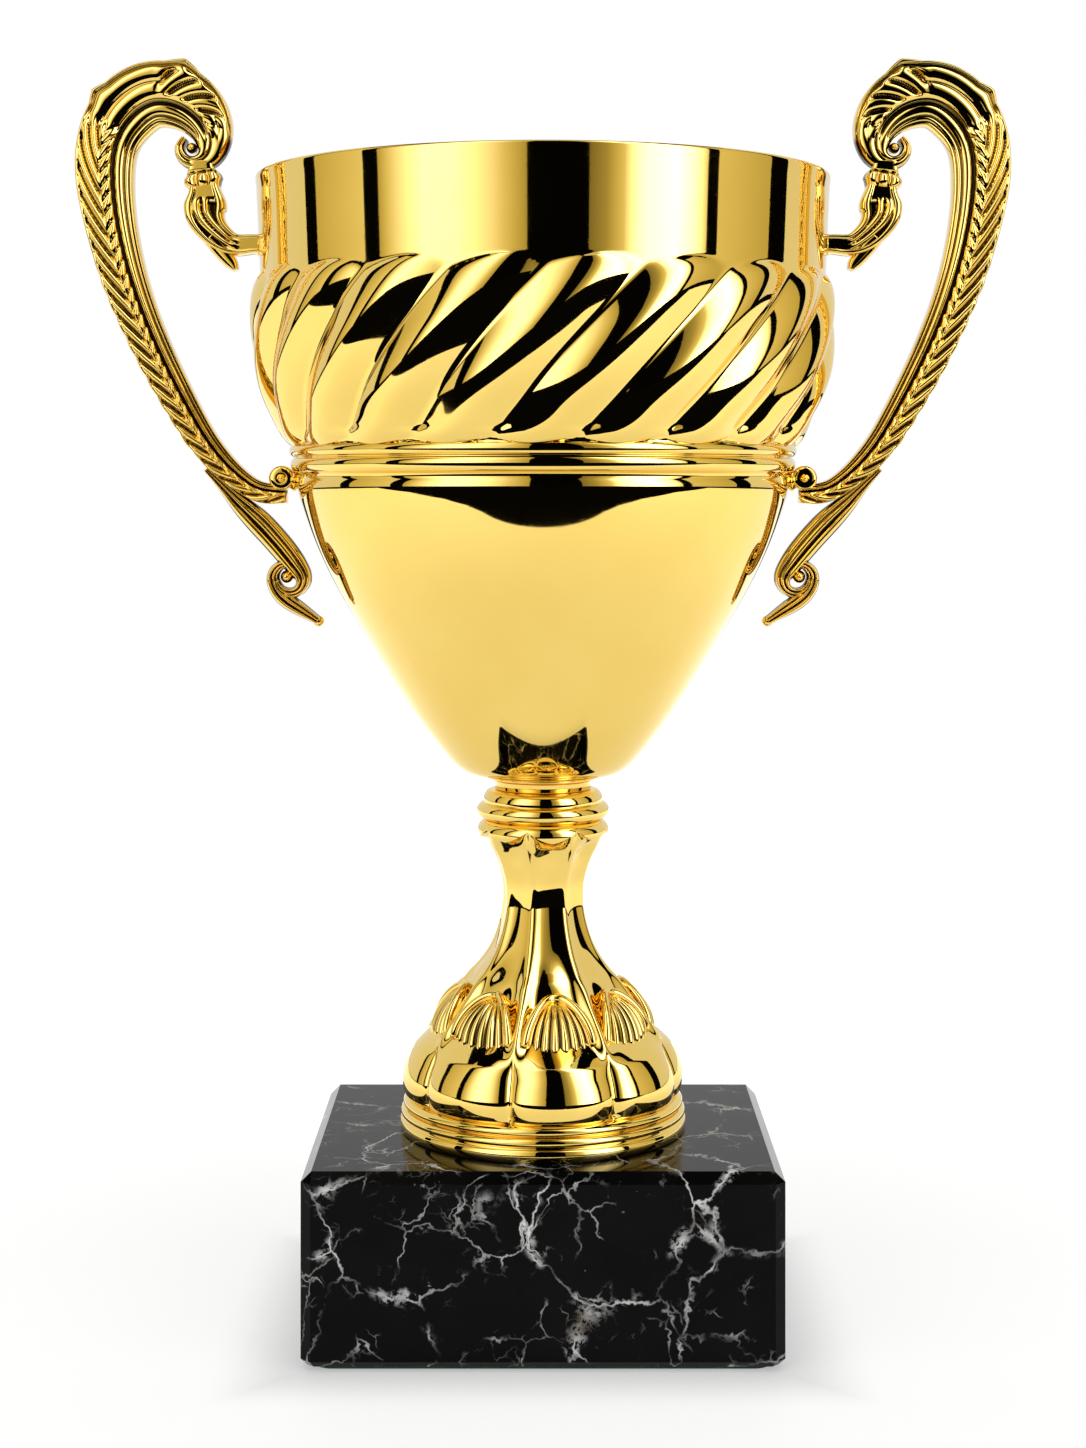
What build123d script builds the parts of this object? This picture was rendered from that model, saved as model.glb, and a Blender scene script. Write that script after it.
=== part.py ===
import os
from math import cos, pi, radians, sin, sqrt

from build123d import *

# Two-handled cup trophy on a stone block. Millimetres, +Z up, front towards -Y, handles at -X and +X.
# The origin is on the surface that it stands on, under the middle of the block.

# Stone block and the felt under it
block_width = 110.0
block_depth = 85.0
block_height = 44.0
block_edge = 2.4
block_foot_edge = 1.5
felt_thickness = 1.0
felt_inset = 3.0
felt_corner = 4.0

# Tie rod that pulls the stack together, with its nuts and washers (M6)
rod_diameter = 6.0
rod_hole_gap = 0.6
rod_below_nut = 1.5
nut_flats = 10.0
nut_height = 5.0
washer_diameter = 18.0
washer_thickness = 1.6
recess_diameter = 24.0
recess_depth = 14.0
acorn_height = 12.0
acorn_skirt = 5.0
rod_in_acorn = 7.0
rod_end_gap = 1.0
thread_gap = 0.1

# Foot ring between block and pedestal
foot_ring_radius = 34.6
foot_ring_bore = 27.0
foot_band_height = 3.0
foot_bead_height = 2.5
foot_bead_depth = 1.1
foot_bead_step = 0.35

# Pedestal: eight lobes that run up into a fluted stem, and a rounded lip on top
lobe_count = 8
lobe_turn = 8.75
pedestal_foot_radius = 33.4
pedestal_height = 60.2
pedestal_wall = 2.2
pedestal_deck = 6.0
stem_lip_height = 6.4
stem_lip_radius = 15.9
stem_top_radius = 14.3

# Collar and neck ring under the bowl
collar_height = 7.3
collar_radius = 16.1
collar_foot_radius = 14.3
collar_top_radius = 13.0
neck_radius = 11.75
neck_height = 2.4
flange_radius = 12.8
flange_height = 0.9

# Bowl: a thin wall, from a flat floor through belly, shoulder, bulged band and rim
bowl_wall = 1.5
bowl_floor_radius = 13.0
bowl_height = 144.8
shoulder_radius = 59.6
shoulder_rise = 69.4
band_foot_radius = 61.0
band_rise = 79.7
band_radius = 71.0
band_height = 42.5
rim_foot_radius = 68.3
rim_radius = 69.4
rim_lip_radius = 1.1
shoulder_bead_radius = 1.3

# Handles: one flat casting each, held by two screws from inside the bowl (M3)
handle_thickness = 7.0
handle_reach = 42.0
handle_pitch = 56.6
lower_joint_rise = 72.3
scroll_ball_radius = 2.2
scroll_ball_proud = 0.8
knuckle_radius = 4.5
knuckle_height = 6.0
upper_spigot_diameter = 5.0
lower_spigot_diameter = 4.4
spigot_length = 2.5
lower_scroll_radius = 2.7
screw_diameter = 3.0
screw_length = 6.0
screw_hole_depth = 4.6
screw_hole_gap = 0.4
screw_head_diameter = 5.5
screw_head_height = 2.2
screw_slot_width = 0.8
screw_slot_depth = 1.0
saddle_diameter = 8.0
saddle_thickness = 1.2

os.makedirs("parts", exist_ok=True)

# Levels of the stack, from the surface up
block_foot = felt_thickness
block_top = block_foot + block_height
recess_top = block_foot + recess_depth
pedestal_seat = block_top + foot_band_height + 2 * foot_bead_height
stem_lip_foot = pedestal_seat + pedestal_height
collar_seat = stem_lip_foot + stem_lip_height
neck_seat = collar_seat + collar_height
flange_seat = neck_seat + neck_height
bowl_seat = flange_seat + flange_height
bowl_floor = bowl_seat + bowl_wall
rim_top = bowl_seat + bowl_height
shoulder_level = bowl_seat + shoulder_rise
band_foot = bowl_seat + band_rise
band_top = band_foot + band_height
lip_level = rim_top - rim_lip_radius
lower_joint = bowl_seat + lower_joint_rise
upper_joint = lower_joint + handle_pitch

rod_hole_radius = (rod_diameter + rod_hole_gap) / 2


def between(level, low, high):
    """Radius at a level on the straight line from low to high, each a (radius, level) pair."""
    share = (level - low[1]) / (high[1] - low[1])
    return low[0] + share * (high[0] - low[0])


def save(piece, label):
    """Names a finished piece and writes it as parts/label.step."""
    piece.part.label = label
    export_step(piece.part, f"parts/{label}.step")


# ---------------------------------------------------------------- stone block and felt
with BuildPart() as felt_pad:
    with BuildSketch():
        RectangleRounded(
            block_width - 2 * felt_inset, block_depth - 2 * felt_inset, felt_corner
        )
    extrude(amount=felt_thickness)
save(felt_pad, "felt_pad")

with BuildPart() as marble_base:
    with BuildSketch(Plane.XY.offset(block_foot)):
        Rectangle(block_width, block_depth)
    extrude(amount=block_height)
    foot_edges = marble_base.faces().sort_by(Axis.Z)[0].edges()
    chamfer(marble_base.edges() - foot_edges, block_edge)
    chamfer(marble_base.faces().sort_by(Axis.Z)[0].edges(), block_foot_edge)
    with BuildSketch(Plane.XY.offset(block_foot)):
        Circle(rod_hole_radius)
    extrude(amount=block_height, mode=Mode.SUBTRACT)
    with BuildSketch(Plane.XY.offset(block_foot)):
        Circle(recess_diameter / 2)
    extrude(amount=recess_depth, mode=Mode.SUBTRACT)
save(marble_base, "marble_base")

# ---------------------------------------------------------------- tie rod, nuts and washers
nut_top = recess_top - washer_thickness
nut_foot = nut_top - nut_height
acorn_foot = bowl_floor + washer_thickness
rod_foot = nut_foot - rod_below_nut
rod_top = acorn_foot + rod_in_acorn


def flat_washer(foot):
    """Washer for the tie rod with its lower face at the level foot."""
    with BuildPart() as washer:
        with BuildSketch(Plane.XY.offset(foot)):
            Circle(washer_diameter / 2)
            Circle(rod_hole_radius, mode=Mode.SUBTRACT)
        extrude(amount=washer_thickness)
    return washer


save(flat_washer(nut_top), "base_washer")
save(flat_washer(bowl_floor), "bowl_washer")

with BuildPart() as base_nut:
    with BuildSketch(Plane.XY.offset(nut_foot)):
        RegularPolygon(nut_flats / 2, 6, major_radius=False)
        Circle((rod_diameter + thread_gap) / 2, mode=Mode.SUBTRACT)
    extrude(amount=nut_height)
save(base_nut, "base_nut")

with BuildPart() as tie_rod:
    with BuildSketch(Plane.XY.offset(rod_foot)):
        Circle(rod_diameter / 2)
    extrude(amount=rod_top - rod_foot)
    chamfer(tie_rod.edges().filter_by(GeomType.CIRCLE), rod_diameter / 10)
save(tie_rod, "tie_rod")

with BuildPart() as acorn_nut:
    with BuildSketch(Plane.XY.offset(acorn_foot)):
        RegularPolygon(nut_flats / 2, 6, major_radius=False)
        Circle((rod_diameter + thread_gap) / 2, mode=Mode.SUBTRACT)
    extrude(amount=acorn_skirt)
    with BuildSketch(Plane.XZ):
        with BuildLine():
            bore_top = rod_top + rod_end_gap
            bore_radius = (rod_diameter + thread_gap) / 2
            cap_radius = 0.94 * nut_flats / 2
            dome_foot = acorn_foot + acorn_height - cap_radius
            Line((cap_radius, acorn_foot), (cap_radius, dome_foot))
            ThreePointArc(
                (cap_radius, dome_foot),
                (cap_radius * cos(pi / 4), dome_foot + cap_radius * sin(pi / 4)),
                (0, acorn_foot + acorn_height),
            )
            Polyline(
                (0, acorn_foot + acorn_height),
                (0, bore_top),
                (bore_radius, bore_top),
                (bore_radius, acorn_foot),
                (cap_radius, acorn_foot),
            )
        make_face()
    revolve(axis=Axis.Z)
save(acorn_nut, "acorn_nut")

# ---------------------------------------------------------------- foot ring
with BuildPart() as foot_ring:
    with BuildSketch(Plane.XZ):
        with BuildLine():
            band_top_level = block_top + foot_band_height
            lower_bead = foot_ring_radius - foot_bead_step
            upper_bead = lower_bead - foot_bead_step
            Polyline(
                (foot_ring_bore, block_top),
                (foot_ring_radius, block_top),
                (foot_ring_radius, band_top_level),
                (lower_bead - foot_bead_depth, band_top_level),
            )
            ThreePointArc(
                (lower_bead - foot_bead_depth, band_top_level),
                (lower_bead, band_top_level + foot_bead_height / 2),
                (lower_bead - foot_bead_depth, band_top_level + foot_bead_height),
            )
            Line(
                (lower_bead - foot_bead_depth, band_top_level + foot_bead_height),
                (upper_bead - foot_bead_depth, band_top_level + foot_bead_height),
            )
            ThreePointArc(
                (upper_bead - foot_bead_depth, band_top_level + foot_bead_height),
                (upper_bead, band_top_level + 1.5 * foot_bead_height),
                (upper_bead - foot_bead_depth, pedestal_seat),
            )
            Polyline(
                (upper_bead - foot_bead_depth, pedestal_seat),
                (foot_ring_bore, pedestal_seat),
                (foot_ring_bore, block_top),
            )
        make_face()
    revolve(axis=Axis.Z)
save(foot_ring, "foot_ring")

# ---------------------------------------------------------------- pedestal
# Each section: share of the height, radius on a lobe and radius in a crease as shares of the foot's.
# Up the stem the lobes turn into shallow flutes and the creases between them into ribs.
pedestal_sections = [
    (0.000, 1.000, 0.940),
    (0.070, 1.018, 0.955),
    (0.140, 0.990, 0.925),
    (0.200, 0.940, 0.870),
    (0.265, 0.845, 0.780),
    (0.340, 0.800, 0.765),
    (0.400, 0.720, 0.700),
    (0.460, 0.560, 0.590),
    (0.520, 0.467, 0.490),
    (0.620, 0.352, 0.370),
    (0.720, 0.299, 0.314),
    (0.820, 0.285, 0.299),
    (0.920, 0.316, 0.332),
    (1.000, 0.382, 0.401),
]


def lobe_point(radius, step):
    """Point at a radius, a number of lobe steps round from the first crease."""
    angle = radians(lobe_turn - 90 + (step - 0.5) * 360 / lobe_count)
    return (radius * cos(angle), radius * sin(angle))


with BuildPart() as pedestal:
    for share, lobe_share, crease_share in pedestal_sections:
        lobe_radius = lobe_share * pedestal_foot_radius
        crease_radius = crease_share * pedestal_foot_radius
        with BuildSketch(Plane.XY.offset(pedestal_seat + share * pedestal_height)):
            with BuildLine():
                for lobe in range(lobe_count):
                    ThreePointArc(
                        lobe_point(crease_radius, lobe),
                        lobe_point(lobe_radius, lobe + 0.5),
                        lobe_point(crease_radius, lobe + 1),
                    )
            make_face()
    loft()
    with BuildSketch(Plane.XZ):
        with BuildLine():
            stem_radius = pedestal_sections[-1][2] * pedestal_foot_radius
            Line((0, stem_lip_foot), (stem_radius, stem_lip_foot))
            ThreePointArc(
                (stem_radius, stem_lip_foot),
                (stem_lip_radius, stem_lip_foot + 0.55 * stem_lip_height),
                (stem_top_radius, collar_seat),
            )
            Polyline((stem_top_radius, collar_seat), (0, collar_seat), (0, stem_lip_foot))
        make_face()
    revolve(axis=Axis.Z)
    deck_foot = stem_lip_foot - pedestal_deck
    hollow = [
        (
            min(lobe_share, crease_share) * pedestal_foot_radius - pedestal_wall,
            pedestal_seat + share * pedestal_height,
        )
        for share, lobe_share, crease_share in pedestal_sections
        if pedestal_seat + share * pedestal_height < deck_foot
    ]
    with BuildSketch(Plane.XZ):
        with BuildLine():
            Polyline(
                (0, pedestal_seat),
                *hollow,
                (hollow[-1][0], deck_foot),
                (0, deck_foot),
                (0, pedestal_seat),
            )
        make_face()
    revolve(axis=Axis.Z, mode=Mode.SUBTRACT)
    with BuildSketch(Plane.XY.offset(deck_foot)):
        Circle(rod_hole_radius)
    extrude(amount=collar_seat - deck_foot, mode=Mode.SUBTRACT)
save(pedestal, "pedestal")

# ---------------------------------------------------------------- collar and neck ring
with BuildPart() as collar:
    with BuildSketch(Plane.XZ):
        with BuildLine():
            roll_top = collar_seat + 0.62 * collar_height
            Line((rod_hole_radius, collar_seat), (collar_foot_radius, collar_seat))
            ThreePointArc(
                (collar_foot_radius, collar_seat),
                (collar_radius, (collar_seat + roll_top) / 2),
                (collar_foot_radius, roll_top),
            )
            ThreePointArc(
                (collar_foot_radius, roll_top),
                (collar_foot_radius - 0.1, (roll_top + neck_seat) / 2),
                (collar_top_radius, neck_seat),
            )
            Polyline(
                (collar_top_radius, neck_seat),
                (rod_hole_radius, neck_seat),
                (rod_hole_radius, collar_seat),
            )
        make_face()
    revolve(axis=Axis.Z)
save(collar, "collar")

with BuildPart() as neck_ring:
    with BuildSketch(Plane.XY.offset(neck_seat)):
        Circle(neck_radius)
    extrude(amount=neck_height)
    with BuildSketch(Plane.XY.offset(flange_seat)):
        Circle(flange_radius)
    extrude(amount=flange_height)
    with BuildSketch(Plane.XY.offset(neck_seat)):
        Circle(rod_hole_radius)
    extrude(amount=neck_height + flange_height, mode=Mode.SUBTRACT)
save(neck_ring, "neck_ring")

# ---------------------------------------------------------------- bowl
shoulder_low = (shoulder_radius, shoulder_level)
shoulder_high = (band_foot_radius, band_foot)
rim_low = (rim_foot_radius, band_top)
rim_high = (rim_radius, lip_level)

# Belly of the bowl: shares of the way out from floor to shoulder, and of the way up.
belly_shares = [
    (0.00, 0.000),
    (0.10, 0.016),
    (0.20, 0.055),
    (0.365, 0.192),
    (0.54, 0.370),
    (0.70, 0.545),
    (0.84, 0.720),
    (0.95, 0.893),
    (1.00, 1.000),
]
# Bulged band: shares of its swell beyond the foot radius, and of the way up.
band_shares = [(0.00, 0.00), (0.42, 0.16), (0.82, 0.37), (1.00, 0.68), (0.90, 0.90)]

belly = [
    (
        bowl_floor_radius + out * (shoulder_radius - bowl_floor_radius),
        bowl_seat + up * shoulder_rise,
    )
    for out, up in belly_shares
]
band = [
    (band_foot_radius + out * (band_radius - band_foot_radius), band_foot + up * band_height)
    for out, up in band_shares
]

with BuildPart() as bowl_block:
    with BuildSketch(Plane.YZ):
        with BuildLine():
            Line((0, bowl_seat), belly[0])
            Spline(*belly)
            Line(shoulder_low, shoulder_high)
            Spline(*band, rim_low)
            Line(rim_low, (rim_radius, rim_top))
            Polyline((rim_radius, rim_top), (0, rim_top), (0, bowl_seat))
        make_face()
    revolve(axis=Axis.Z)

bead_level = (shoulder_level + band_foot) / 2
bead_radius = between(bead_level, shoulder_low, shoulder_high)
bead_size = min(shoulder_bead_radius, bowl_wall - 0.2)

with BuildPart() as bowl_shell:
    add(bowl_block.part)
    offset(amount=-bowl_wall, openings=bowl_shell.faces().sort_by(Axis.Z)[-1])

with BuildPart() as bowl:
    add(bowl_shell.part)
    with BuildSketch(Plane.YZ):
        with Locations((rim_radius, lip_level)):
            Circle(rim_lip_radius)
        with Locations((bead_radius, bead_level)):
            Circle(bead_size)
    revolve(axis=Axis.Z)
    with BuildSketch(Plane.XY.offset(bowl_seat)):
        Circle(rod_hole_radius)
    extrude(amount=bowl_wall, mode=Mode.SUBTRACT)
    for joint_level in (lower_joint, upper_joint):
        with BuildSketch(Plane.YZ.offset(-2 * rim_radius)):
            with Locations((0, joint_level)):
                Circle((screw_diameter + screw_hole_gap) / 2)
        extrude(amount=4 * rim_radius, mode=Mode.SUBTRACT)
save(bowl, "bowl")

with BuildPart() as bowl_space:
    add(bowl_block.part)
    add(bowl_shell.part, mode=Mode.SUBTRACT)

# ---------------------------------------------------------------- handles
# Places on a handle are (out, up): out from the line through its two joints on the bowl, up from
# the lower joint, both drawn for a reach of 42 and a pitch of 56.6.
lower_seat = between(lower_joint, shoulder_low, shoulder_high)
upper_seat = between(upper_joint, rim_low, rim_high)
reach_drawn = 42.0
pitch_drawn = 56.6


def at(out, up):
    """Point in the plane of the right handle for a place on its drawing."""
    level = lower_joint + up * handle_pitch / pitch_drawn
    seat = between(level, (lower_seat, lower_joint), (upper_seat, upper_joint))
    return (seat + out * handle_reach / reach_drawn, level)


def curve(*places):
    """Smooth line through places on the drawing."""
    return Spline(*[at(out, up) for out, up in places])


neck_outer = (14.8, 74.4)
neck_inner = (8.0, 74.9)
top_peak = (12.6, 101.3)
top_notch = (33.2, 95.4)
arm_foot_peak = (24.6, 6.4)
curl_notch = (6.3, -20.2)
tip_low = (0.6, -35.6)
tip_high = (-1.0, -33.4)
tail_notch = (3.2, -28.3)
strut_top = (6.8, -7.2)
tab_low = (2.6, -6.8)
tab_high = (2.2, -1.2)
arm_root = (6.4, -1.2)
scroll_notch = (14.5, 83.4)
scroll_centre = (12.0, 80.0)

handle_outline = [
    [neck_inner, (3.6, 79.9), (1.7, 86.7), (3.5, 94.0), (8.0, 98.6), top_peak],
    [top_peak, (19.8, 100.6), (27.0, 98.8), top_notch],
    [top_notch, (39.0, 85.0), (42.0, 67.6), (38.4, 44.5), (30.3, 21.0), arm_foot_peak],
    [arm_foot_peak, (17.0, -5.0), (10.7, -12.8), curl_notch],
    [curl_notch, (9.6, -22.4), (9.4, -28.2), (4.4, -33.4), tip_low],
    [tip_low, (-0.9, -36.4), (-1.8, -34.9), tip_high],
    [tip_high, (1.2, -31.4), tail_notch],
    [tail_notch, (-0.4, -24.2), (1.6, -17.2), strut_top],
    [strut_top, tab_low],
    [tab_low, tab_high],
    [tab_high, arm_root],
    [arm_root, (13.8, 3.4), (21.6, 20.9), (27.0, 40.0), (29.0, 61.7), (26.0, 80.0), (19.4, 85.2), scroll_notch],
    [scroll_notch, (16.8, 79.4), neck_outer],
    [neck_outer, neck_inner],
]
leaf_top_outer = (15.1, 69.6)
leaf_top_inner = (7.8, 69.6)
leaf_tip = (6.6, 50.3)
boss_low = (0.9, 54.2)
boss_high = (0.9, 59.0)
leaf_outline = [
    [leaf_top_outer, (17.3, 64.6), (13.6, 57.8), (8.8, 53.0), leaf_tip],
    [leaf_tip, (5.4, 52.9), boss_low],
    [boss_low, boss_high],
    [boss_high, (7.0, 60.3), (7.4, 64.4), leaf_top_inner],
    [leaf_top_inner, leaf_top_outer],
]

scroll_balls = [scroll_centre, (5.9, -24.3)]
spigots = [
    (lower_seat, lower_joint, lower_spigot_diameter),
    (upper_seat, upper_joint, upper_spigot_diameter),
]

with BuildPart() as handle_right:
    with BuildSketch(Plane.XZ):
        with BuildLine():
            for stretch in handle_outline:
                curve(*stretch)
        make_face()
    extrude(amount=handle_thickness / 2, both=True)
    with BuildSketch(Plane.XZ):
        with BuildLine():
            for stretch in leaf_outline:
                curve(*stretch)
        make_face()
        with Locations(at(3.1, 0)):
            Circle(lower_scroll_radius)
    extrude(amount=handle_thickness / 2 - 0.5, both=True)
    knuckle_low = at(11.3, 69.2)
    with BuildSketch(Plane.XZ):
        with BuildLine():
            knuckle_side = knuckle_low[0] + knuckle_radius
            knuckle_neck = knuckle_low[0] + 0.78 * knuckle_radius
            knuckle_top = at(11.3, 69.2 + knuckle_height)[1]
            Line(knuckle_low, (knuckle_neck, knuckle_low[1]))
            ThreePointArc(
                (knuckle_neck, knuckle_low[1]),
                (knuckle_side, (knuckle_low[1] + knuckle_top) / 2),
                (knuckle_neck, knuckle_top),
            )
            Polyline((knuckle_neck, knuckle_top), (knuckle_low[0], knuckle_top), knuckle_low)
        make_face()
    revolve(axis=Axis((knuckle_low[0], 0, 0), (0, 0, 1)))
    for seat, joint_level, spigot in spigots:
        with BuildSketch(Plane.YZ.offset(seat - bowl_wall)):
            with Locations((0, joint_level)):
                Circle(spigot / 2)
        extrude(amount=bowl_wall + spigot_length)
    add(bowl_block.part, mode=Mode.SUBTRACT)
    add(bowl.part, mode=Mode.SUBTRACT)
    for seat, joint_level, _ in spigots:
        with BuildSketch(Plane.YZ.offset(seat - bowl_wall)):
            with Locations((0, joint_level)):
                Circle((screw_diameter + thread_gap) / 2)
        extrude(amount=bowl_wall + screw_hole_depth, mode=Mode.SUBTRACT)
    for ball_centre in scroll_balls:
        with Locations((at(*ball_centre)[0], 0, at(*ball_centre)[1])):
            Cylinder(scroll_ball_radius, handle_thickness + 2 * scroll_ball_proud, rotation=(90, 0, 0))
save(handle_right, "handle_right")

with BuildPart() as handle_left:
    mirror(handle_right.part, about=Plane.YZ)
save(handle_left, "handle_left")

# ---------------------------------------------------------------- handle screws and saddle washers
# A screw head stands off by the washer's thickness and by what the wall leans over its width.
joints = {
    "lower": (lower_seat, lower_joint, shoulder_low, shoulder_high),
    "upper": (upper_seat, upper_joint, rim_low, rim_high),
}
for height_name, (seat, joint_level, wall_low, wall_high) in joints.items():
    lean = abs(wall_high[0] - wall_low[0]) / (wall_high[1] - wall_low[1])
    wall_face = seat - bowl_wall * sqrt(1 + lean**2)
    head_face = wall_face - saddle_thickness - lean * screw_head_diameter / 2
    with BuildPart() as saddle:
        with BuildSketch(Plane.YZ.offset(head_face)):
            with Locations((0, joint_level)):
                Circle(saddle_diameter / 2)
                Circle((screw_diameter + screw_hole_gap) / 2, mode=Mode.SUBTRACT)
        extrude(amount=saddle_thickness + 2 * bowl_wall)
        add(bowl_space.part, mode=Mode.INTERSECT)
    with BuildPart() as screw:
        with BuildSketch(Plane.YZ.offset(head_face)):
            with Locations((0, joint_level)):
                Circle(screw_diameter / 2)
        extrude(amount=screw_length)
        with BuildSketch(Plane.YZ.offset(head_face)):
            with Locations((0, joint_level)):
                Circle(screw_head_diameter / 2)
        extrude(amount=-screw_head_height)
        fillet(screw.edges().sort_by(Axis.X)[0], screw_head_height / 3)
        with BuildSketch(Plane.YZ.offset(head_face - screw_head_height)):
            with Locations((0, joint_level)):
                Rectangle(screw_head_diameter, screw_slot_width)
        extrude(amount=screw_slot_depth, mode=Mode.SUBTRACT)
    with BuildPart() as saddle_mirrored:
        mirror(saddle.part, about=Plane.YZ)
    with BuildPart() as screw_mirrored:
        mirror(screw.part, about=Plane.YZ)
    save(saddle, f"handle_saddle_{height_name}_right")
    save(screw, f"handle_screw_{height_name}_right")
    save(saddle_mirrored, f"handle_saddle_{height_name}_left")
    save(screw_mirrored, f"handle_screw_{height_name}_left")
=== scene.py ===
import math

import bmesh
import bpy
import numpy as np
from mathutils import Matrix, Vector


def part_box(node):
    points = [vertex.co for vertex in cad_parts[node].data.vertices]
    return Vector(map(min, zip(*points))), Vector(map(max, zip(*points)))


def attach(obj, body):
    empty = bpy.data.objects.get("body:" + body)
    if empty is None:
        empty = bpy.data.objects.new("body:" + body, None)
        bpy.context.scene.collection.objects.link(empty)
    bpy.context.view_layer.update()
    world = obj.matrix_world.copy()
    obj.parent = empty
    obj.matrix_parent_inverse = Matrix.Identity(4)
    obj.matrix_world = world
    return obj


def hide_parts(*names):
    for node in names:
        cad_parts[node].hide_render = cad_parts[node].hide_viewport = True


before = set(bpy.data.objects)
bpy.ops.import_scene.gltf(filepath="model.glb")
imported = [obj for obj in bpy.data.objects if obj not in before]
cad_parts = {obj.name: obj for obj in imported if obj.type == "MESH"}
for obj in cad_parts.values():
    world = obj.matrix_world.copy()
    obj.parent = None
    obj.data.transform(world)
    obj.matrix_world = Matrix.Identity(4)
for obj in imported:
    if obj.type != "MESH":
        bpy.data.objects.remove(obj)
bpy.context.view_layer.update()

# Two-handled gilt cup on a black marble block. Shapes are worked out in millimetres and turned
# into metres where the mesh is made. +Z up, front towards -Y, handles at -X and +X.
mm = 0.001


def boxOf(node):
    # Lowest and highest corner of a CAD node, in millimetres.
    low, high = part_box(node)
    return np.array(low) / mm, np.array(high) / mm


def splineThrough(points, count):
    # Natural cubic spline through the points, with the distance between them as its parameter;
    # gives count points evenly spaced in that parameter. Any number of columns.
    points = np.array(points, dtype=float)
    gaps = np.linalg.norm(np.diff(points[:, :2], axis=0), axis=1)
    knots = np.concatenate([[0.0], np.cumsum(gaps)])
    n = len(points)
    system = np.zeros((n, n))
    rhs = np.zeros_like(points)
    system[0, 0] = system[-1, -1] = 1.0
    row = np.arange(1, n - 1)
    system[row, row - 1] = gaps[:-1]
    system[row, row] = 2 * (gaps[:-1] + gaps[1:])
    system[row, row + 1] = gaps[1:]
    slopes = np.diff(points, axis=0) / gaps[:, None]
    rhs[1:-1] = 6 * (slopes[1:] - slopes[:-1])
    bend = np.linalg.solve(system, rhs)
    at = np.linspace(0, knots[-1], count)
    span = np.clip(np.searchsorted(knots, at, side="right") - 1, 0, n - 2)
    width = gaps[span][:, None]
    before = (at - knots[span])[:, None]
    after = width - before
    curve = bend[span] * after**3 / (6 * width) + bend[span + 1] * before**3 / (6 * width)
    curve += (points[span] / width - bend[span] * width / 6) * after
    curve += (points[span + 1] / width - bend[span + 1] * width / 6) * before
    return curve


def gridMesh(name, x, y, z, wrapRows=False, wrapColumns=True, capEnds=False, recess=None):
    # Quads between neighbouring rows and columns of three equal arrays, in millimetres. recess, an
    # array of the same shape, is kept on the points as painted shade for the material to darken by.
    rows, columns = x.shape
    points = np.stack([x, y, z], axis=-1).reshape(-1, 3) * mm
    i = np.arange(rows if wrapRows else rows - 1)[:, None]
    j = np.arange(columns if wrapColumns else columns - 1)[None, :]
    a = i * columns + j
    b = i * columns + (j + 1) % columns
    c = (i + 1) % rows * columns + (j + 1) % columns
    d = (i + 1) % rows * columns + j
    quads = np.stack([a, b, c, d], axis=-1).reshape(-1, 4)
    faces = quads.tolist()
    if capEnds:
        faces.append(list(range(columns - 1, -1, -1)))
        faces.append(list(range((rows - 1) * columns, rows * columns)))
    mesh = bpy.data.meshes.new(name)
    mesh.from_pydata(points.tolist(), [], faces)
    kept = mesh.attributes.new("recess", "FLOAT", "POINT")
    darker = np.zeros(x.shape) if recess is None else recess
    kept.data.foreach_set("value", np.ascontiguousarray(darker, dtype=np.float32).ravel())
    mesh.shade_smooth()
    mesh.update()
    return mesh


def piece(name, meshes, material, slot, *nodes):
    # One object from one or more meshes, with doubles merged and faces turned outwards.
    build = bmesh.new()
    for part in meshes:
        build.from_mesh(part)
        bpy.data.meshes.remove(part)
    bmesh.ops.remove_doubles(build, verts=build.verts, dist=0.002 * mm)
    bmesh.ops.recalc_face_normals(build, faces=build.faces)
    mesh = bpy.data.meshes.new(name)
    build.to_mesh(mesh)
    build.free()
    mesh.shade_smooth()
    mesh.materials.append(material)
    made = bpy.data.objects.new(name, mesh)
    bpy.context.scene.collection.objects.link(made)
    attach(made, "root")
    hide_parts(*nodes)


def turned(name, profile, columns=192):
    # A closed (radius, level) outline turned about the upright axis.
    profile = np.array(profile)
    angle = np.arange(columns) / columns * 2 * np.pi
    x = profile[:, :1] * np.sin(angle)
    y = -profile[:, :1] * np.cos(angle)
    z = np.repeat(profile[:, 1:2], columns, axis=1)
    return gridMesh(name, x, y, z, wrapRows=True)


def arc(centre, radius, start, end, count):
    # Points on a circle from one angle to another, in degrees.
    angle = np.radians(np.linspace(start, end, count))
    return np.stack([centre[0] + radius * np.cos(angle), centre[1] + radius * np.sin(angle)], axis=1)


def smoothStep(x, low, high):
    # 0 below low, 1 above high, with a smooth rise between.
    t = np.clip((x - low) / (high - low), 0, 1)
    return t * t * (3 - 2 * t)


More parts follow.
